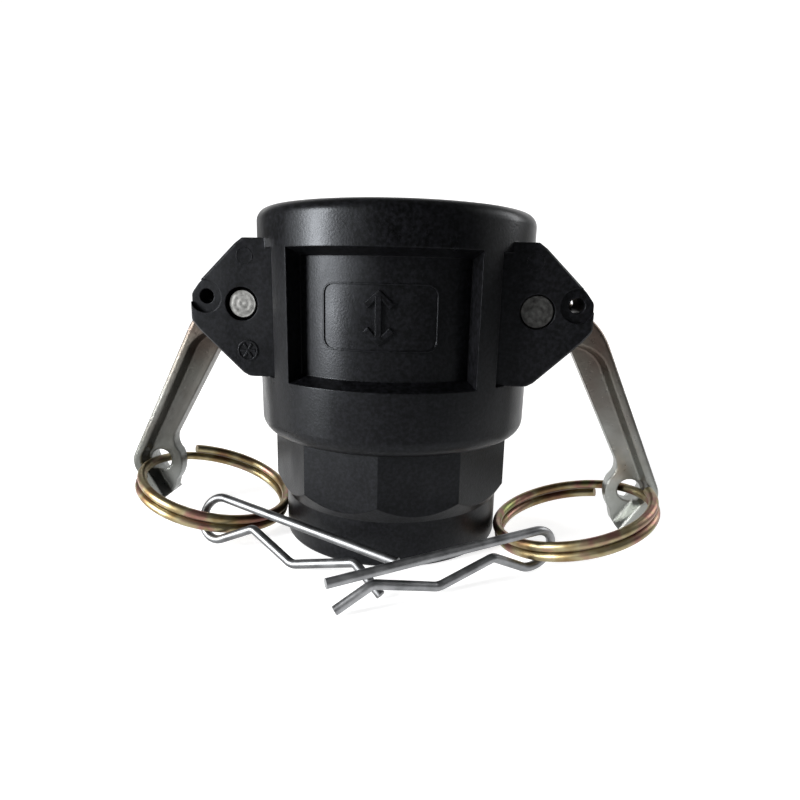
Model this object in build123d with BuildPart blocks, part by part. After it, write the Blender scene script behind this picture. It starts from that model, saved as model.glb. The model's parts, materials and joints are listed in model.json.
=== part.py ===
"""Type D camlock coupling, nominal size 1-1/4 inch, as an assembly of ten separate pieces.

Millimetres, +Z up. The origin is the centre of the bottom face, on the flow axis. The socket
for the male adapter opens upward and the female thread opens downward.
"""
from build123d import *
import os
from math import cos, radians, sin, sqrt

os.makedirs("parts", exist_ok=True)

# ---------------------------------------------------------------- driving dimensions
SIDES = {"left": -1, "right": 1}
OVERLAP = 1.0  # how far joined and cutting shapes run past each other

# Moulded body
BODY_HEIGHT = 71.0
COLLAR_R = 30.0  # outer radius of the collar and the ribs
WAIST_R = 29.6  # the same wall at its lower edge, after the mould draft
WAIST_Z = 24.2  # underside of the wide part
WAIST_FILLET = 3.4
COLLAR_Z = 62.7  # underside of the collar, where the pockets end
LEDGE_Z = 37.0  # lower lip of the pockets
TOP_FILLET = 2.6
SPIGOT_R = 24.6  # round end with the female thread
WRENCH_SIDES = 10
WRENCH_R = 26.8  # corner radius of the wrench flats
WRENCH_RELIEF_Z = 9.8  # where the cone below the flats meets the spigot
WRENCH_RELIEF_SLOPE = 1.7  # rise of that cone per millimetre outwards
FOOT_FILLET = 0.8

# Waterway
SOCKET_R = 23.0  # takes a 45.5 mm adapter
SOCKET_CHAMFER = 1.0
GASKET_Z = 27.6
GASKET_H = 6.35
GASKET_R = 24.6
GASKET_BORE_R = 17.45
GASKET_GAP = 0.1
GASKET_FILLET = 0.9
THROAT_R = 16.6
THREAD_R = 20.955  # major radius of a G 1-1/4 thread
THREAD_DEPTH = 20.0
THREAD_CHAMFER = 0.6

# Front and back pockets
POCKET_FLOOR_R = 26.0
POCKET_BEVEL = 1.4  # how far the ledge and the ceiling lean over the pocket's depth
POCKET_HALF = 18.2  # half width at the outer surface
POCKET_LEAN = 0.5  # side wall lean per millimetre of depth

# Lugs that carry the cam arms
LUG_Y = 18.0
LUG_INNER_X = 21.9
SLOT_HALF = 5.1
SLOT_INNER_X = 30.4
LUG_TOP_Z = 64.6
LUG_BOTTOM_Z = 37.25
LUG_TIP_X = 39.7
LUG_TIP_RUN = 2.0  # the tip's four corners lie this close to its end
LUG_TIP_FILLET = 1.6
LUG_EDGE = 0.4
LUG_EDGE_X = 26.9  # the bevelled edges start here

# Pivot pins
PIVOT_X = 29.07
PIVOT_Z = 51.78
PIN_R = 3.3
PIN_GAP = 0.05
PIN_TAIL_R = 2.65
PIN_TAIL_L = 2.2
PIN_SINK = 0.6
PIN_CHAMFER = 0.3

# Lock-pin holes and their spot faces
LOCK_X = 36.6
LOCK_Z = 53.1
LOCK_R = 1.5
SPOT_R = 3.3
SPOT_DEPTH = 1.0

# Cam arms, in each arm's own axes: u runs from the pivot towards the ring hole, v outwards
ARM_ANGLE = {"left": 35.5, "right": 32.6}  # degrees open from the closed, upright arm
ARM_HALF = 4.6
WEB_HALF = 1.5
RECESS_LEAN = 14.0
HEAD_R = 6.0
NOSE_R = 2.0
NOSE_U = 3.97
NOSE_V = -7.29
NOSE_GAP = 0.5  # room round the swinging nose, inside the body
RING_HOLE_U = 48.2
RING_HOLE_R = 2.6
ARM_EDGE = 0.8  # rounding along the spine
ARM_EDGE_V = 4.0  # the spine lies outside this

# Pull rings: split rings of a little under two turns, threaded through the arm holes
RING_WIRE_R = 1.0
RING_R = 16.7
RING_PITCH = 2.15
RING_SWEEP = 330.0  # degrees of wire on each side of the arm hole
RING_HANG = 0.2  # how far the wire hangs below the middle of the hole
RING_SHIFT = {"left": -4.9, "right": -8.8}  # where each ring's centre lies along Y
RING_TILT = {"left": 17.0, "right": 15.2}  # degrees, inner edge down

# Retaining clips: one bent wire each, straight leg 0 to 42.5, waved leg beside it
CLIP_WIRE_R = 0.9
CLIP_EYE_R = 4.7
CLIP_LEG = 42.5
CLIP_BENDS = [4.6, 4.2, 1.6, 3.0, 1.6]  # bend radii, from the straight leg to the waved one's tip
CLIP_START = {"left": Vector(-33.91, -18.19, 10.24), "right": Vector(30.84, -23.86, 9.67)}
CLIP_ALONG = {"left": Vector(0.915, -0.396, -0.076), "right": Vector(-0.87, -0.491, -0.051)}
CLIP_ACROSS = {"left": Vector(-0.196, -0.275, -0.941), "right": Vector(-0.062, 0.212, -0.975)}


def finish(piece, name):
    """Label a finished piece and write it to its own STEP file."""
    piece.part.label = name
    export_step(piece.part, f"parts/{name}.step")


# ---------------------------------------------------------------- coupler body
def pocket_cutter():
    """The two bevelled pockets: a ring segment with leaning side walls, front and back."""
    outer_r = COLLAR_R + OVERLAP
    run = outer_r - POCKET_FLOOR_R
    bevel = POCKET_BEVEL * run / (COLLAR_R - POCKET_FLOOR_R)
    lip_y = sqrt(COLLAR_R**2 - POCKET_HALF**2)
    near_y = LUG_Y
    far_y = outer_r + OVERLAP
    near_x = POCKET_HALF + POCKET_LEAN * (near_y - lip_y)
    far_x = POCKET_HALF + POCKET_LEAN * (far_y - lip_y)
    floor_low = LEDGE_Z + POCKET_BEVEL
    floor_high = COLLAR_Z - POCKET_BEVEL
    with BuildPart() as cutter:
        with BuildSketch(Plane.XZ):
            with BuildLine():
                Polyline(
                    (POCKET_FLOOR_R, floor_low),
                    (outer_r, floor_low - bevel),
                    (outer_r, floor_high + bevel),
                    (POCKET_FLOOR_R, floor_high),
                    close=True,
                )
            make_face()
        revolve(axis=Axis.Z)
        with BuildSketch():
            for front in (-1, 1):
                with BuildLine():
                    Polyline(
                        (-near_x, front * near_y),
                        (near_x, front * near_y),
                        (far_x, front * far_y),
                        (-far_x, front * far_y),
                        close=True,
                    )
                make_face()
        extrude(amount=BODY_HEIGHT, mode=Mode.INTERSECT)
    return cutter.part


def lug_outline(side):
    """Corner points of a lug in the XZ plane, from the flow axis outwards."""
    points = [
        (0, LUG_TOP_Z),
        (28.7, LUG_TOP_Z),
        (30.2, 63.5),
        (38.2, 55.6),
        (LUG_TIP_X, 53.6),
        (LUG_TIP_X, 48.2),
        (38.0, 46.2),
        (29.2, 37.9),
        (28.0, LUG_BOTTOM_Z),
        (0, LUG_BOTTOM_Z),
    ]
    return [(side * x, z) for x, z in points]


def make_body():
    with BuildPart() as body:
        # Outer shell of revolution
        with BuildSketch(Plane.XZ):
            with BuildLine():
                Polyline(
                    (0, 0),
                    (SPIGOT_R, 0),
                    (SPIGOT_R, WAIST_Z),
                    (WAIST_R, WAIST_Z),
                    (COLLAR_R, COLLAR_Z),
                    (COLLAR_R, BODY_HEIGHT),
                    (0, BODY_HEIGHT),
                    close=True,
                )
            make_face()
        revolve(axis=Axis.Z)
        rims = body.edges().filter_by(GeomType.CIRCLE)
        top_rim = rims.group_by(Axis.Z)[-1]
        waist_rim = rims.group_by(Axis.Z)[1].sort_by(SortBy.RADIUS)[-1]
        foot_rim = rims.group_by(Axis.Z)[0]
        fillet(top_rim, radius=TOP_FILLET)
        fillet(waist_rim, radius=WAIST_FILLET)
        fillet(foot_rim, radius=FOOT_FILLET)

        # Wrench flats, relieved by a cone at their lower end
        with BuildSketch(Plane.XY.offset(WRENCH_RELIEF_Z)):
            RegularPolygon(radius=WRENCH_R, side_count=WRENCH_SIDES, rotation=180 / WRENCH_SIDES)
        extrude(amount=WAIST_Z + OVERLAP - WRENCH_RELIEF_Z)
        relief_out = WRENCH_R + OVERLAP
        relief_top = WRENCH_RELIEF_Z + WRENCH_RELIEF_SLOPE * (relief_out - SPIGOT_R)
        with BuildSketch(Plane.XZ):
            with BuildLine():
                Polyline(
                    (SPIGOT_R, WRENCH_RELIEF_Z),
                    (relief_out, WRENCH_RELIEF_Z),
                    (relief_out, relief_top),
                    close=True,
                )
            make_face()
        revolve(axis=Axis.Z, mode=Mode.SUBTRACT)

        # Flat lands beside the ribs, and the pockets between the ribs
        land_x = COLLAR_R + OVERLAP - LUG_INNER_X
        land_y = COLLAR_R + OVERLAP - LUG_Y
        for side in SIDES.values():
            for front in (-1, 1):
                with Locations(
                    (
                        side * (LUG_INNER_X + land_x / 2),
                        front * (LUG_Y + land_y / 2),
                        (LUG_BOTTOM_Z + COLLAR_Z) / 2,
                    )
                ):
                    Box(land_x, land_y, COLLAR_Z - LUG_BOTTOM_Z, mode=Mode.SUBTRACT)
        add(pocket_cutter(), mode=Mode.SUBTRACT)

        # Lugs
        for side in SIDES.values():
            with BuildSketch(Plane.XZ) as lug:
                with BuildLine():
                    Polyline(lug_outline(side), close=True)
                make_face()
                tips = lug.vertices().filter_by(lambda corner: abs(corner.X) > LUG_TIP_X - LUG_TIP_RUN)
                fillet(tips, radius=LUG_TIP_FILLET)
            extrude(amount=LUG_Y, both=True)
        lug_rims = body.faces().filter_by(Axis.Y).filter_by(lambda face: face.center().Z > WAIST_Z)
        outside = lug_rims.edges().filter_by(lambda edge: abs(edge.center().X) > LUG_EDGE_X)
        chamfer(outside, length=LUG_EDGE)

        # Waterway, gasket groove and thread bore
        with BuildSketch(Plane.XZ):
            with BuildLine():
                Polyline(
                    (0, 0),
                    (THREAD_R + THREAD_CHAMFER, 0),
                    (THREAD_R, THREAD_CHAMFER),
                    (THREAD_R, THREAD_DEPTH),
                    (THROAT_R, THREAD_DEPTH),
                    (THROAT_R, GASKET_Z),
                    (GASKET_R + GASKET_GAP, GASKET_Z),
                    (GASKET_R + GASKET_GAP, GASKET_Z + GASKET_H + GASKET_GAP),
                    (SOCKET_R, GASKET_Z + GASKET_H + GASKET_GAP),
                    (SOCKET_R, BODY_HEIGHT - SOCKET_CHAMFER),
                    (SOCKET_R + SOCKET_CHAMFER, BODY_HEIGHT),
                    (0, BODY_HEIGHT),
                    close=True,
                )
            make_face()
        revolve(axis=Axis.Z, mode=Mode.SUBTRACT)

        # Arm slots, and the windows that let the cam noses reach the adapter
        window_r = sqrt(NOSE_U**2 + NOSE_V**2) + NOSE_R + NOSE_GAP
        slot_length = LUG_TIP_X + OVERLAP - SLOT_INNER_X
        for side in SIDES.values():
            with BuildSketch(Plane.XZ):
                with Locations((side * PIVOT_X, PIVOT_Z)):
                    Circle(window_r)
                with Locations((side * (SLOT_INNER_X + slot_length / 2), PIVOT_Z)):
                    Rectangle(slot_length, 2 * (LUG_TOP_Z - LUG_BOTTOM_Z))
            extrude(amount=SLOT_HALF, both=True, mode=Mode.SUBTRACT)

        # Pin holes, lock-pin holes and their spot faces
        for side in SIDES.values():
            with BuildSketch(Plane.XZ):
                with Locations((side * PIVOT_X, PIVOT_Z)):
                    Circle(PIN_R + PIN_GAP)
                with Locations((side * LOCK_X, LOCK_Z)):
                    Circle(LOCK_R)
            extrude(amount=LUG_Y + OVERLAP, both=True, mode=Mode.SUBTRACT)
            for front in (-1, 1):
                with BuildSketch(Plane.XZ.offset(-front * LUG_Y)):
                    with Locations((side * LOCK_X, LOCK_Z)):
                        Circle(SPOT_R)
                extrude(amount=front * SPOT_DEPTH, mode=Mode.SUBTRACT)
    return body


body = make_body()
finish(body, "coupler_body")


# ---------------------------------------------------------------- gasket
with BuildPart() as gasket:
    with BuildSketch(Plane.XZ):
        with Locations(((GASKET_R + GASKET_BORE_R) / 2, GASKET_Z + GASKET_H / 2)):
            RectangleRounded(GASKET_R - GASKET_BORE_R, GASKET_H, GASKET_FILLET)
    revolve(axis=Axis.Z)
finish(gasket, "gasket")


# ---------------------------------------------------------------- pivot pins
def make_pin(side):
    """A plain pin with one full end and one turned-down end. The two pins point opposite ways."""
    half = LUG_Y - PIN_SINK
    with BuildPart() as pin:
        with BuildSketch(Plane.XZ.offset(-half)):
            with Locations((side * PIVOT_X, PIVOT_Z)):
                Circle(PIN_R)
        extrude(amount=2 * half)
        tail = pin.faces().sort_by(Axis.Y)[0 if side < 0 else -1]
        head = pin.faces().sort_by(Axis.Y)[-1 if side < 0 else 0]
        chamfer(head.edges(), length=PIN_CHAMFER)
        chamfer(tail.edges(), length=PIN_TAIL_L, length2=PIN_R - PIN_TAIL_R)
    return pin


for name, side in SIDES.items():
    finish(make_pin(side), f"pivot_pin_{name}")


# ---------------------------------------------------------------- cam arms
def arm_plane(name):
    """The arm's own axes in the rest pose: x along the arm, y outwards, origin at the pivot."""
    side = SIDES[name]
    swing = radians(ARM_ANGLE[name])
    along = Vector(side * sin(swing), 0, -cos(swing))
    return Plane(
        origin=(side * PIVOT_X, 0, PIVOT_Z),
        x_dir=along,
        z_dir=(0, -side, 0),
    )


def make_arm(name):
    """One forged arm: cam head, web with a rim along its outer edge and round its tip."""
    plane = arm_plane(name)
    recess_depth = ARM_HALF - WEB_HALF
    with BuildPart() as arm:
        # Full-thickness blank: eccentric head, shank and slanted toe
        with BuildSketch(plane):
            Circle(HEAD_R)
            with Locations((NOSE_U, NOSE_V)):
                Circle(NOSE_R)
            make_hull()
            with BuildLine():
                outer = Line((16.0, 10.9), (49.4, 5.55))
                back_u = -2.0
                back_v = sqrt(HEAD_R**2 - back_u**2)
                Spline(
                    (back_u, back_v),
                    (4.0, 8.4),
                    (10.0, 10.7),
                    outer @ 0,
                    tangents=((back_v, -back_u), outer % 0),
                )
                tip_bend = TangentArc(outer @ 1, (53.1, 2.7), tangent=outer % 1)
                Polyline(
                    tip_bend @ 1,
                    (57.0, -5.2),
                    (56.4, -6.0),
                    (53.9, -6.7),
                    (52.4, -6.6),
                    (50.4, -5.9),
                )
                lobe = ThreePointArc((50.4, -5.9), (46.4, -5.0), (43.6, -2.4))
                ThreePointArc(lobe @ 1, (42.5, -0.3), (40.6, 0.8))
                Polyline((40.6, 0.8), (13.5, 3.8), (10.2, 1.6), (5.4, -6.0), (back_u, back_v))
            make_face()
        extrude(amount=ARM_HALF, both=True)
        outlines = arm.faces().filter_by(Axis.Y).edges()
        spine = outlines.filter_by(lambda edge: plane.to_local_coords(edge.center()).Y > ARM_EDGE_V)
        fillet(spine, radius=ARM_EDGE)

        # Web recess on both faces, open on the inner edge
        for face in (-1, 1):
            with BuildSketch(plane.offset(face * ARM_HALF)):
                with BuildLine():
                    head_end = ThreePointArc((11.4, 4.3), (15.6, 7.9), (20.6, 8.2))
                    rim_line = Line(head_end @ 1, (47.4, 4.0))
                    corner = ThreePointArc(rim_line @ 1, (50.3, 3.0), (51.2, 0.4))
                    Polyline(corner @ 1, (54.2, -6.2), (55.0, -9.0), (11.4, -9.0), (11.4, 4.3))
                make_face()
            extrude(amount=-face * recess_depth, taper=RECESS_LEAN, mode=Mode.SUBTRACT)

        # Pivot hole and ring hole
        with BuildSketch(plane):
            Circle(PIN_R + PIN_GAP)
            with Locations((RING_HOLE_U, 0)):
                Circle(RING_HOLE_R)
        extrude(amount=ARM_HALF + OVERLAP, both=True, mode=Mode.SUBTRACT)
    return arm


for name in SIDES:
    finish(make_arm(name), f"cam_arm_{name}")


# ---------------------------------------------------------------- pull rings
def ring_plane(name):
    """Plane of a ring at rest: x points from its centre to the arm hole."""
    side = SIDES[name]
    shift = RING_SHIFT[name]
    tilt = radians(RING_TILT[name])
    hole = arm_plane(name).from_local_coords(Vector(RING_HOLE_U, 0, 0)) - Vector(0, 0, RING_HANG)
    outward = Vector(side * cos(tilt), 0, sin(tilt))
    centre = hole - outward * sqrt(RING_R**2 - shift**2) + Vector(0, shift, 0)
    normal = Vector(-side * sin(tilt), 0, cos(tilt))
    return Plane(origin=centre, x_dir=hole - centre, z_dir=normal)


def make_ring(name):
    """A right-handed helix of wire, centred on the point where it passes through the arm."""
    height = RING_PITCH * 2 * RING_SWEEP / 360
    with BuildPart() as coil:
        with BuildLine():
            path = Helix(RING_PITCH, height, RING_R, center=(0, 0, -height / 2))
        with BuildSketch(Plane(origin=path @ 0, z_dir=path % 0)):
            Circle(RING_WIRE_R)
        sweep(path=path, is_frenet=True)
    with BuildPart() as ring:
        with Locations(ring_plane(name).location * Location((0, 0, 0), (0, 0, -RING_SWEEP))):
            add(coil.part)
    return ring


for name in SIDES:
    finish(make_ring(name), f"pull_ring_{name}")


# ---------------------------------------------------------------- retaining clips
def clip_plane(name):
    """Plane of a clip at rest: x runs along its straight leg, y towards its waved leg."""
    along = CLIP_ALONG[name]
    return Plane(
        origin=CLIP_START[name],
        x_dir=along,
        z_dir=along.cross(CLIP_ACROSS[name]),
    )


def make_clip(name):
    """One bent wire: the straight leg, the eye round the ring, and the waved leg."""
    with BuildPart() as clip:
        with BuildLine(clip_plane(name)) as wire:
            FilletPolyline(
                (CLIP_LEG, 0),
                (-CLIP_EYE_R, 0),
                (-CLIP_EYE_R, 12.1),
                (9.0, 3.9),
                (20.5, 7.6),
                (34.0, 2.8),
                (40.8, 6.6),
                radius=CLIP_BENDS,
            )
        with BuildSketch(Plane(origin=wire.line @ 0, z_dir=wire.line % 0)):
            Circle(CLIP_WIRE_R)
        sweep(path=wire.wire())
    return clip


for name in SIDES:
    finish(make_clip(name), f"r_clip_{name}")
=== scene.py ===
"""The looks of the camlock coupling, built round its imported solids.

Metres, in the solids' own frame: +Z is the flow axis and the coupling stands on the floor at zero.
"""
import json
from math import cos, pi, radians, sin

import bpy
from mathutils import Matrix, Vector


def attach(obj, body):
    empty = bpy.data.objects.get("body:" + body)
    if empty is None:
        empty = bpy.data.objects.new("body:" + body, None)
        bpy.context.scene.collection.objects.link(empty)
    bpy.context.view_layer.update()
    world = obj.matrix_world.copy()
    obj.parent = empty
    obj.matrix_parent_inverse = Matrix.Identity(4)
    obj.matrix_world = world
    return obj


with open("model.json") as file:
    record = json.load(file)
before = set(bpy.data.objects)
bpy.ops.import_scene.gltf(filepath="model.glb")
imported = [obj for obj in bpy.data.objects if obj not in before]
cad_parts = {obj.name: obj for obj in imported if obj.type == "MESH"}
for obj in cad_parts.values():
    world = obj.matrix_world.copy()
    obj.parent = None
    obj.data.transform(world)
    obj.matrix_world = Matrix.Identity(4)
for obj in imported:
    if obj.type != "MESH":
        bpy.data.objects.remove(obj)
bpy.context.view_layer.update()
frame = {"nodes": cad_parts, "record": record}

MM = 0.001
nodes = frame["nodes"]


def add_object(name, data):
    """A new object in the scene that shows some data: a mesh, a light or a camera."""
    made = bpy.data.objects.new(name, data)
    bpy.context.scene.collection.objects.link(made)
    return made


# ---------------------------------------------------------------- material helpers
NOISE_LOW = 0.3  # most of a noise lies between these two
NOISE_HIGH = 0.7
WAVES_PER_SCALE = 20 / (2 * pi)  # rings that a wave texture of scale 1 has in a metre


def new_material(name):
    """A material with one Principled shader, and its object coordinates."""
    material = bpy.data.materials.new(name)
    material.use_nodes = True
    tree = material.node_tree
    shader = tree.nodes["Principled BSDF"]
    coordinates = tree.nodes.new("ShaderNodeTexCoord").outputs["Object"]
    return material, tree, shader, coordinates


def add_noise(tree, coordinates, size_mm, detail, stretch=(1, 1, 1)):
    """Noise whose features are about size_mm across, from 0 to 1."""
    mapping = tree.nodes.new("ShaderNodeMapping")
    mapping.inputs["Scale"].default_value = stretch
    tree.links.new(coordinates, mapping.inputs["Vector"])
    noise = tree.nodes.new("ShaderNodeTexNoise")
    noise.inputs["Scale"].default_value = 1 / (size_mm * MM)
    noise.inputs["Detail"].default_value = detail
    tree.links.new(mapping.outputs["Vector"], noise.inputs["Vector"])
    return noise.outputs["Fac"]


def add_ramp(tree, factor, stops):
    """Colours along a factor. Each stop is (position, (red, green, blue))."""
    ramp = tree.nodes.new("ShaderNodeValToRGB")
    elements = ramp.color_ramp.elements
    while len(elements) < len(stops):
        elements.new(0.5)
    for element, (position, colour) in zip(elements, stops):
        element.position = position
        element.color = (*colour, 1)
    tree.links.new(factor, ramp.inputs["Fac"])
    return ramp.outputs["Color"]


def add_range(tree, noise, low, high):
    """A noise turned into values that lie mostly between low and high."""
    remap = tree.nodes.new("ShaderNodeMapRange")
    remap.inputs["From Min"].default_value = NOISE_LOW
    remap.inputs["From Max"].default_value = NOISE_HIGH
    remap.inputs["To Min"].default_value = low
    remap.inputs["To Max"].default_value = high
    tree.links.new(noise, remap.inputs["Value"])
    return remap.outputs["Result"]


def add_rise(tree, coordinates, way, low_mm, high_mm):
    """A factor that rises smoothly from 0 to 1 between two distances along a way."""
    along = tree.nodes.new("ShaderNodeVectorMath")
    along.operation = "DOT_PRODUCT"
    along.inputs[1].default_value = way
    tree.links.new(coordinates, along.inputs[0])
    remap = tree.nodes.new("ShaderNodeMapRange")
    remap.interpolation_type = "SMOOTHSTEP"
    remap.inputs["From Min"].default_value = low_mm * MM
    remap.inputs["From Max"].default_value = high_mm * MM
    tree.links.new(along.outputs["Value"], remap.inputs["Value"])
    return remap.outputs["Result"]


def add_product(tree, first, second):
    """Two factors multiplied."""
    product = tree.nodes.new("ShaderNodeMath")
    product.operation = "MULTIPLY"
    tree.links.new(first, product.inputs[0])
    tree.links.new(second, product.inputs[1])
    return product.outputs["Value"]


def add_mix(tree, factor, first, second):
    """The first colour where the factor is 0, and the second where it is 1."""
    mix = tree.nodes.new("ShaderNodeMix")
    mix.data_type = "RGBA"
    tree.links.new(factor, mix.inputs["Factor"])
    tree.links.new(first, mix.inputs["A"])
    tree.links.new(second, mix.inputs["B"])
    return mix.outputs["Result"]


def add_rings(tree, coordinates, centre, gap, distortion):
    """Waves in rings round an axis along Y through the centre, from 0 to 1."""
    centred = tree.nodes.new("ShaderNodeMapping")
    centred.inputs["Location"].default_value = -centre
    tree.links.new(coordinates, centred.inputs["Vector"])
    rings = tree.nodes.new("ShaderNodeTexWave")
    rings.wave_type = "RINGS"
    rings.rings_direction = "Y"
    rings.inputs["Scale"].default_value = 1 / (WAVES_PER_SCALE * gap)
    rings.inputs["Distortion"].default_value = distortion
    tree.links.new(centred.outputs["Vector"], rings.inputs["Vector"])
    return rings.outputs["Fac"]


def add_bump(tree, shader, height, strength, depth_mm, edge_mm=0.0):
    """Relief from a height, over edges that look rounded to edge_mm."""
    bump = tree.nodes.new("ShaderNodeBump")
    bump.inputs["Strength"].default_value = strength
    bump.inputs["Distance"].default_value = depth_mm * MM
    tree.links.new(height, bump.inputs["Height"])
    if edge_mm:
        rounded = tree.nodes.new("ShaderNodeBevel")
        rounded.inputs["Radius"].default_value = edge_mm * MM
        tree.links.new(rounded.outputs["Normal"], bump.inputs["Normal"])
    tree.links.new(bump.outputs["Normal"], shader.inputs["Normal"])


# ---------------------------------------------------------------- materials
PIN_X = 29.07 * MM  # the pins' axes lie this far to each side of the flow axis
PIN_Z = 51.78 * MM
PIN_RING_GAP = 1.2 * MM
# Painted reflection: the arm's colour is lighter low down and darker towards the head
ARM_TIP_Z_MM = 10  # an arm is grey up to here, and brownish above ARM_HEAD_Z_MM
ARM_HEAD_Z_MM = 48


def make_black_plastic():
    """Glass-filled plastic: nearly black, with a cloudy sheen and a fine grain."""
    material, tree, shader, coordinates = new_material("black_polypropylene")
    black = (0.0006, 0.0006, 0.0006)
    speck = (0.006, 0.006, 0.0075)
    cool_sheen = (0.88, 0.93, 1, 1)
    clouds = add_noise(tree, coordinates, size_mm=9, detail=6, stretch=(1, 1, 0.6))
    grain = add_noise(tree, coordinates, size_mm=0.42, detail=6)
    specks = add_noise(tree, coordinates, size_mm=0.7, detail=8)
    colour = add_ramp(tree, specks, [(0.4, black), (0.75, speck)])
    tree.links.new(colour, shader.inputs["Base Color"])
    tree.links.new(add_range(tree, clouds, low=0.26, high=0.46), shader.inputs["Roughness"])
    shader.inputs["IOR"].default_value = 1.26
    shader.inputs["Specular Tint"].default_value = cool_sheen
    add_bump(tree, shader, grain, strength=0.42, depth_mm=0.065, edge_mm=0.3)
    return material


def make_rubber():
    """Nitrile rubber: matt black with a fine grain."""
    material, tree, shader, coordinates = new_material("nitrile_rubber")
    dark = (0.010, 0.010, 0.010)
    light = (0.018, 0.018, 0.017)
    grain = add_noise(tree, coordinates, size_mm=0.8, detail=4)
    colour = add_ramp(tree, grain, [(NOISE_LOW, dark), (NOISE_HIGH, light)])
    tree.links.new(colour, shader.inputs["Base Color"])
    shader.inputs["Roughness"].default_value = 0.7
    add_bump(tree, shader, grain, strength=0.3, depth_mm=0.04)
    return material


def make_zinc_arm(name, shade):
    """Plated forging with a painted reflection: darker and brownish at the head, lighter grey at the tip;
    shade lightens it with painted light or darkens it with painted shade.
    """
    material, tree, shader, coordinates = new_material(name)
    brown = Vector((0.115, 0.07, 0.058)) * shade
    straw = Vector((0.16, 0.15, 0.127)) * shade
    grey = Vector((0.17, 0.175, 0.16)) * shade
    pale = Vector((0.29, 0.3, 0.29)) * shade
    patches = add_noise(tree, coordinates, size_mm=14, detail=3)
    grain = add_noise(tree, coordinates, size_mm=0.7, detail=5)
    head = add_ramp(tree, patches, [(0.35, brown), (0.65, straw)])
    tip = add_ramp(tree, patches, [(0.35, grey), (0.65, pale)])
    # Painted reflection: the base colour rises from the lighter tip colours to the darker brownish head
    # colours
    painted_reflection_to_head = add_rise(tree, coordinates, (0, 0, 1), ARM_TIP_Z_MM, ARM_HEAD_Z_MM)
    tree.links.new(add_mix(tree, painted_reflection_to_head, tip, head), shader.inputs["Base Color"])
    shader.inputs["Metallic"].default_value = 1.0
    tree.links.new(add_range(tree, grain, low=0.26, high=0.42), shader.inputs["Roughness"])
    add_bump(tree, shader, grain, strength=0.4, depth_mm=0.1, edge_mm=0.8)
    return material


def make_zinc_steel(name, side, dark, light):
    """Pin ends: zinc between a dark and a light grey, with turning marks round the pin's axis."""
    material, tree, shader, coordinates = new_material(name)
    dark_grey = Vector((1, 1, 0.95)) * dark
    light_grey = Vector((1, 1, 0.97)) * light
    blotches = add_noise(tree, coordinates, size_mm=0.9, detail=5)
    colour = add_ramp(tree, blotches, [(NOISE_LOW, dark_grey), (NOISE_HIGH, light_grey)])
    tree.links.new(colour, shader.inputs["Base Color"])
    shader.inputs["Metallic"].default_value = 0.9
    shader.inputs["Roughness"].default_value = 0.44
    centre = Vector((side * PIN_X, 0, PIN_Z))
    marks = add_rings(tree, coordinates, centre, PIN_RING_GAP, distortion=0.6)
    add_bump(tree, shader, marks, strength=0.5, depth_mm=0.06)
    return material


def make_yellow_zinc():
    """Ring wire: yellow passivation that runs from gold to olive, pink and brown."""
    material, tree, shader, coordinates = new_material("yellow_zinc")
    brown = (0.15, 0.065, 0.05)
    bronze = (0.21, 0.15, 0.07)
    gold = (0.31, 0.27, 0.16)
    pink = (0.26, 0.13, 0.11)
    olive = (0.19, 0.21, 0.08)
    hues = add_noise(tree, coordinates, size_mm=9, detail=3)
    stops = [(0.32, brown), (0.44, bronze), (0.52, gold), (0.60, pink), (0.68, olive)]
    tree.links.new(add_ramp(tree, hues, stops), shader.inputs["Base Color"])
    shader.inputs["Metallic"].default_value = 1.0
    shader.inputs["Roughness"].default_value = 0.42
    return material


def make_bright_wire(name, shade):
    """Clip wire: satin zinc with faint drawing marks; shade lightens it with painted light or darkens it
    with painted shade.
    """
    material, tree, shader, coordinates = new_material(name)
    dark = Vector((0.15, 0.153, 0.158)) * shade
    light = Vector((0.3, 0.306, 0.314)) * shade
    marks = add_noise(tree, coordinates, size_mm=3, detail=4)
    colour = add_ramp(tree, marks, [(NOISE_LOW, dark), (NOISE_HIGH, light)])
    tree.links.new(colour, shader.inputs["Base Color"])
    shader.inputs["Metallic"].default_value = 1.0
    tree.links.new(add_range(tree, marks, low=0.38, high=0.5), shader.inputs["Roughness"])
    return material


materials = {
    "black_polypropylene": make_black_plastic(),
    "nitrile_rubber": make_rubber(),
    # Painted light: this arm material is lightened; the left arm gets a darker copy below
    "zinc_arm": make_zinc_arm("zinc_arm", shade=1.15),
    "zinc_steel": make_zinc_steel("zinc_steel", side=-1, dark=0.09, light=0.24),
    "yellow_zinc": make_yellow_zinc(),
    # Painted light: this wire material is lightened; the left clip gets a darker copy below
    "bright_wire": make_bright_wire("bright_wire", shade=1.1),
}
for subpart in frame["record"]["subparts"]:
    for slot in nodes[subpart["node"]].material_slots:
        slot.material = materials[subpart["material_slot"]]

# The right pin, the left arm and the left clip are darker than their twins: painted shade, drawn as darker
# copies of the same metal
painted_shade_twins = {
    "pivot_pin_right": make_zinc_steel("zinc_steel_painted_shade", side=1, dark=0.03, light=0.09),
    "cam_arm_left": make_zinc_arm("zinc_arm_painted_shade", shade=0.6),
    "r_clip_left": make_bright_wire("bright_wire_painted_shade", shade=0.55),
}
for node_name, material in painted_shade_twins.items():
    nodes[node_name].material_slots[0].material = material


# ---------------------------------------------------------------- pieces added to the body
def add_piece(name, points, faces):
    """A mesh of body plastic that rides on the coupler."""
    mesh = bpy.data.meshes.new(name)
    mesh.from_pydata(points, [], faces)
    mesh.validate()
    mesh.update()
    mesh.materials.append(materials["black_polypropylene"])
    piece = add_object(name, mesh)
    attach(piece, "coupler")


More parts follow.
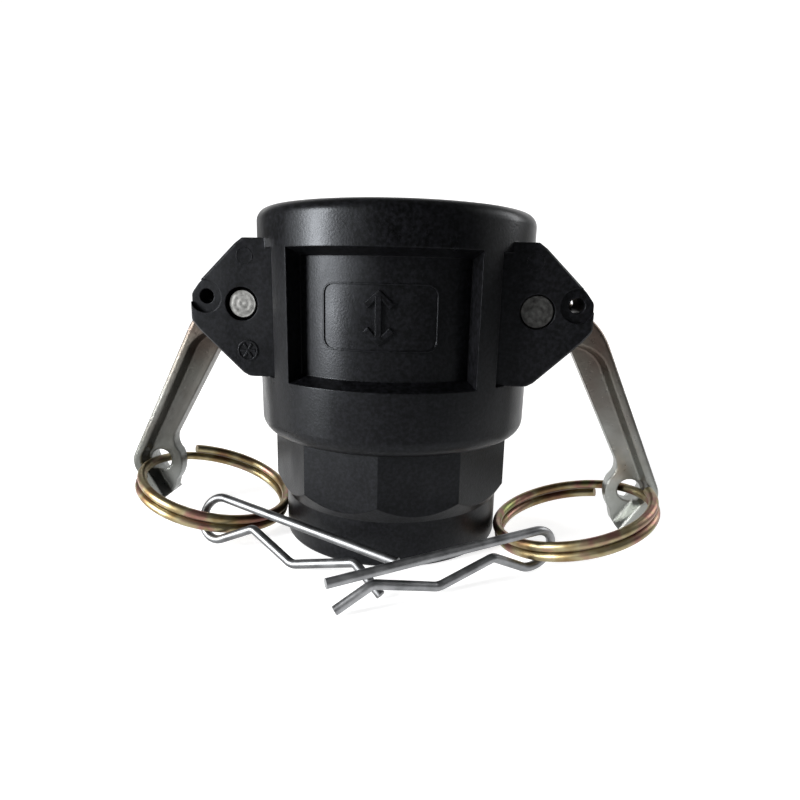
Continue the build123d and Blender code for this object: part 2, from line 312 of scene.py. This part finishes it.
def join_outlines(outlines, closed):
    """The points of a row of equal outlines, and the faces that join each to the next.

    A closed row runs on from its last outline to its first. An open row gets a face at each end.
    """
    count = len(outlines)
    size = len(outlines[0])
    points = [point for outline in outlines for point in outline]
    faces = []
    for i in range(count if closed else count - 1):
        here = i * size
        there = (i + 1) % count * size
        for j in range(size):
            k = (j + 1) % size
            faces.append((here + j, here + k, there + k, there + j))
    if not closed:
        faces.append(tuple(reversed(range(size))))
        faces.append(tuple(range((count - 1) * size, count * size)))
    return points, faces


# ---- female pipe thread: one helical ridge on the wall of the bore
THREAD_MAJOR_R = 20.955 * MM
THREAD_MINOR_R = 19.475 * MM
THREAD_PITCH = 2.309 * MM
THREAD_BOTTOM = 1.2 * MM
THREAD_TURNS = 7
THREAD_STEPS = 96
THREAD_FADE_TURNS = 0.5
THREAD_BURIED = 0.1 * MM
# Places along the pitch from a ridge's middle, and the share of the thread's depth reached there
THREAD_PROFILE = [(-0.5, 0.0), (-0.11, 0.9), (0.0, 1.0), (0.11, 0.9), (0.5, 0.0)]


def make_thread():
    """The ridge is a rounded triangle in section, sunk into the wall and faded out at both ends."""
    depth = THREAD_MAJOR_R - THREAD_MINOR_R
    outlines = []
    for i in range(THREAD_TURNS * THREAD_STEPS + 1):
        turns = i / THREAD_STEPS
        fade = min(1.0, turns / THREAD_FADE_TURNS, (THREAD_TURNS - turns) / THREAD_FADE_TURNS)
        middle = THREAD_BOTTOM + THREAD_PITCH * (turns + 0.5)
        section = [
            (THREAD_MAJOR_R - depth * height * fade, middle + THREAD_PITCH * along)
            for along, height in THREAD_PROFILE
        ]
        section.append((THREAD_MAJOR_R + THREAD_BURIED, middle))
        angle = 2 * pi * turns
        outlines.append([(r * cos(angle), r * sin(angle), z) for r, z in section])
    points, faces = join_outlines(outlines, closed=False)
    add_piece("thread_ridge", points, faces)


# ---- raised lines on the moulding, drawn in millimetres across (x) and up (z)
LINE_SUNK = 0.15 * MM
POCKET_R = 26.0 * MM
LUG_FACE_Y = -18.0 * MM
CIRCLE_STEPS = 32
CORNER_STEPS = 5
SIDE_STEPS = 10


def on_pocket(x, z):
    """A point on the front pocket's round floor, and the way out of it."""
    angle = x / POCKET_R - pi / 2
    outward = Vector((cos(angle), sin(angle), 0))
    return outward * POCKET_R + Vector((0, 0, z)), outward


def on_lug(x, z):
    """A point on the lugs' flat front face, and the way out of it."""
    return Vector((x, LUG_FACE_Y, z)), Vector((0, -1, 0))


def raise_line(name, surface, path, width_mm, proud_mm, closed=False):
    """A thin raised line along a path of (x, z) points on a surface."""
    placed = [surface(x * MM, z * MM) for x, z in path]
    last = len(placed) - 1
    outlines = []
    for i, (point, outward) in enumerate(placed):
        if closed:
            before = placed[i - 1][0]
            after = placed[(i + 1) % len(placed)][0]
        else:
            before = placed[max(i - 1, 0)][0]
            after = placed[min(i + 1, last)][0]
        side = (after - before).normalized().cross(outward) * (width_mm * MM / 2)
        top = outward * proud_mm * MM
        root = -outward * LINE_SUNK
        outlines.append([point - side + root, point - side + top, point + side + top, point + side + root])
    points, faces = join_outlines(outlines, closed)
    add_piece(name, points, faces)


def arc_points(x, z, radius, start, sweep, steps):
    """Points along an arc, from its start angle through its sweep, both ends included."""
    angles = [start + sweep * i / steps for i in range(steps + 1)]
    return [(x + radius * cos(angle), z + radius * sin(angle)) for angle in angles]


def circle_path(x, z, radius):
    """A closed path round a circle."""
    return arc_points(x, z, radius, 0, 2 * pi, CIRCLE_STEPS)[:-1]


def panel_path(x, z, width, height, corner):
    """A rectangle with rounded corners, and points along its sides so that it can bend."""
    reach_x = width / 2 - corner
    reach_z = height / 2 - corner
    corners = [
        arc_points(x + sx * reach_x, z + sz * reach_z, corner, pi / 2 * quarter, pi / 2, CORNER_STEPS)
        for quarter, (sx, sz) in enumerate([(1, 1), (-1, 1), (-1, -1), (1, -1)])
    ]
    path = []
    for this_corner, next_corner in zip(corners, corners[1:] + corners[:1]):
        path += this_corner
        start_x, start_z = this_corner[-1]
        end_x, end_z = next_corner[0]
        for i in range(1, SIDE_STEPS):
            share = i / SIDE_STEPS
            path.append((start_x + (end_x - start_x) * share, start_z + (end_z - start_z) * share))
    return path


# ---- a plain two-way flow arrow in a frame, in the middle of the pocket
PANEL_X = -0.4
PANEL_Z = 50.3
PANEL_WIDTH = 22.0
PANEL_HEIGHT = 12.2
PANEL_CORNER = 2.0
ARROW_HALF = 4.0
ARROW_POINT = 0.5
ARROW_HEAD = 2.4
ARROW_LINE = 1.2
ARROW_PROUD = 0.5
CROSSING_STEP = 0.02  # lines that cross differ in height, so that no two faces lie in one plane


def make_flow_mark():
    """The frame, and in it an upright line with a head at each end."""
    outline = panel_path(PANEL_X, PANEL_Z, PANEL_WIDTH, PANEL_HEIGHT, PANEL_CORNER)
    raise_line("pocket_frame", on_pocket, outline, width_mm=0.35, proud_mm=0.22, closed=True)
    shaft = [(PANEL_X, PANEL_Z - ARROW_HALF), (PANEL_X, PANEL_Z + ARROW_HALF)]
    raise_line("arrow_shaft", on_pocket, shaft, ARROW_LINE, ARROW_PROUD)
    for label, way in (("up", 1), ("down", -1)):
        tip_z = PANEL_Z + way * (ARROW_HALF + ARROW_POINT)
        barb_z = tip_z - way * ARROW_HEAD
        head = [(PANEL_X - ARROW_HEAD, barb_z), (PANEL_X, tip_z), (PANEL_X + ARROW_HEAD, barb_z)]
        raise_line(f"arrow_head_{label}", on_pocket, head, ARROW_LINE, ARROW_PROUD - CROSSING_STEP)


# ---- ejector rings on the front lugs, and a plain spoked insert mark on the left one
EJECTOR_X = 28.2
EJECTOR_Z = 61.1
EJECTOR_R = 1.6
INSERT_X = -28.0
INSERT_Z = 42.5
INSERT_R = 1.95
SPOKES = 3
SPOKE_REACH = 1.6
SPOKE_PROUD = 0.18
SPOKE_STEP = 0.01


def make_ejector_rings():
    """A faint ring near the top of each front lug."""
    for label, side in (("left", -1), ("right", 1)):
        ring = circle_path(side * EJECTOR_X, EJECTOR_Z, EJECTOR_R)
        raise_line(f"ejector_ring_{label}", on_lug, ring, width_mm=0.18, proud_mm=0.06, closed=True)


def make_insert_mark():
    """A ring with lines across it, evenly turned."""
    ring = circle_path(INSERT_X, INSERT_Z, INSERT_R)
    raise_line("insert_ring", on_lug, ring, width_mm=0.4, proud_mm=0.2, closed=True)
    for i in range(SPOKES):
        angle = pi * i / SPOKES
        reach_x = SPOKE_REACH * cos(angle)
        reach_z = SPOKE_REACH * sin(angle)
        spoke = [(INSERT_X - reach_x, INSERT_Z - reach_z), (INSERT_X + reach_x, INSERT_Z + reach_z)]
        raise_line(f"insert_spoke_{i}", on_lug, spoke, width_mm=0.5, proud_mm=SPOKE_PROUD + SPOKE_STEP * i)


make_thread()
make_flow_mark()
make_ejector_rings()
make_insert_mark()

# ---------------------------------------------------------------- floor and wall
BACKDROP_HALF_WIDTH = 1.2
FLOOR_FRONT_Y = -0.6
FLOOR_BACK_Y = 0.7
BEND_R = 0.35
BEND_STEPS = 12
WALL_TOP = 1.4
GLOW_SPREAD_LEFT = 0.85  # how much wider the glow gets for each metre towards the wall
GLOW_SPREAD_RIGHT = 0.6


def make_backdrop_material():
    """Pale matt paper with painted light: it glows behind and beside the coupling, and the glow fades in
    front and far out.
    """
    material, tree, shader, coordinates = new_material("backdrop")
    shader.inputs["Base Color"].default_value = (0.6, 0.6, 0.6, 1)
    shader.inputs["Roughness"].default_value = 0.9
    shader.inputs["Specular IOR Level"].default_value = 0.0
    shader.inputs["Emission Strength"].default_value = 0.8
    glow = add_rise(tree, coordinates, (0, 1, 0), low_mm=-110, high_mm=-60)
    for way_in in ((1, GLOW_SPREAD_LEFT, 0), (-1, GLOW_SPREAD_RIGHT, 0)):
        inside = add_rise(tree, coordinates, way_in, low_mm=-300, high_mm=-100)
        glow = add_product(tree, glow, inside)
    tree.links.new(glow, shader.inputs["Emission Color"])
    return material


def make_backdrop():
    """A pale floor that curves up into a wall behind the coupling."""
    profile = [(FLOOR_FRONT_Y, 0.0)]
    for i in range(BEND_STEPS + 1):
        angle = pi / 2 * i / BEND_STEPS
        profile.append((FLOOR_BACK_Y + BEND_R * sin(angle), BEND_R * (1 - cos(angle))))
    profile.append((FLOOR_BACK_Y + BEND_R, WALL_TOP))
    points = [(x, y, z) for y, z in profile for x in (-BACKDROP_HALF_WIDTH, BACKDROP_HALF_WIDTH)]
    faces = [(2 * i, 2 * i + 1, 2 * i + 3, 2 * i + 2) for i in range(len(profile) - 1)]
    mesh = bpy.data.meshes.new("backdrop")
    mesh.from_pydata(points, [], faces)
    for face in mesh.polygons:
        face.use_smooth = True
    mesh.materials.append(make_backdrop_material())
    backdrop = add_object("backdrop", mesh)


# ---------------------------------------------------------------- light
LIGHT_DISTANCE = 0.65
LIGHT_AIM = Vector((0, 0, 0.04))
SOFTBOX_WIDTH = 0.15
SOFTBOX_HEIGHT = 0.35
WORLD_STRENGTH = 0.13


def add_softbox(name, turn_deg, rise_deg, power):
    """An area light aimed at the coupling, turned left of the front and raised."""
    turn = radians(turn_deg)
    rise = radians(rise_deg)
    way = Vector((-sin(turn) * cos(rise), -cos(turn) * cos(rise), sin(rise)))
    light = bpy.data.lights.new(name, "AREA")
    light.shape = "RECTANGLE"
    light.size = SOFTBOX_WIDTH
    light.size_y = SOFTBOX_HEIGHT
    light.energy = power
    lamp = add_object(name, light)
    lamp.location = LIGHT_AIM + LIGHT_DISTANCE * way
    lamp.rotation_euler = (-way).to_track_quat("-Z", "Y").to_euler()


def make_world():
    """A weak, even white light from everywhere."""
    world = bpy.data.worlds.new("studio")
    world.use_nodes = True
    background = world.node_tree.nodes["Background"]
    background.inputs["Color"].default_value = (1, 1, 1, 1)
    background.inputs["Strength"].default_value = WORLD_STRENGTH
    bpy.context.scene.world = world


# ---------------------------------------------------------------- camera
CAMERA_PLACE = Vector((13.1, -128.52, 57.2)) * MM
CAMERA_TURN = radians(5.13)  # to the left of straight ahead
CAMERA_DROP = radians(12.04)  # below the horizon
CAMERA_ROLL = radians(1.37)
SENSOR_WIDTH_MM = 36
LENS_MM = 25.35
CLIP_START = 0.005


def make_camera():
    """A camera close in front of the coupling that looks slightly down on it."""
    data = bpy.data.cameras.new("camera")
    data.sensor_width = SENSOR_WIDTH_MM
    data.lens = LENS_MM
    data.clip_start = CLIP_START
    camera = add_object("camera", data)
    turn = Matrix.Rotation(CAMERA_TURN, 4, "Z")
    tilt = Matrix.Rotation(pi / 2 - CAMERA_DROP, 4, "X")
    roll = Matrix.Rotation(CAMERA_ROLL, 4, "Z")
    camera.matrix_world = Matrix.Translation(CAMERA_PLACE) @ turn @ tilt @ roll
    bpy.context.scene.camera = camera


make_backdrop()
add_softbox("key_left", turn_deg=57, rise_deg=12, power=11)
add_softbox("rim_right", turn_deg=-110, rise_deg=25, power=1.6)
make_world()
make_camera()
bpy.context.scene.view_settings.view_transform = "Standard"
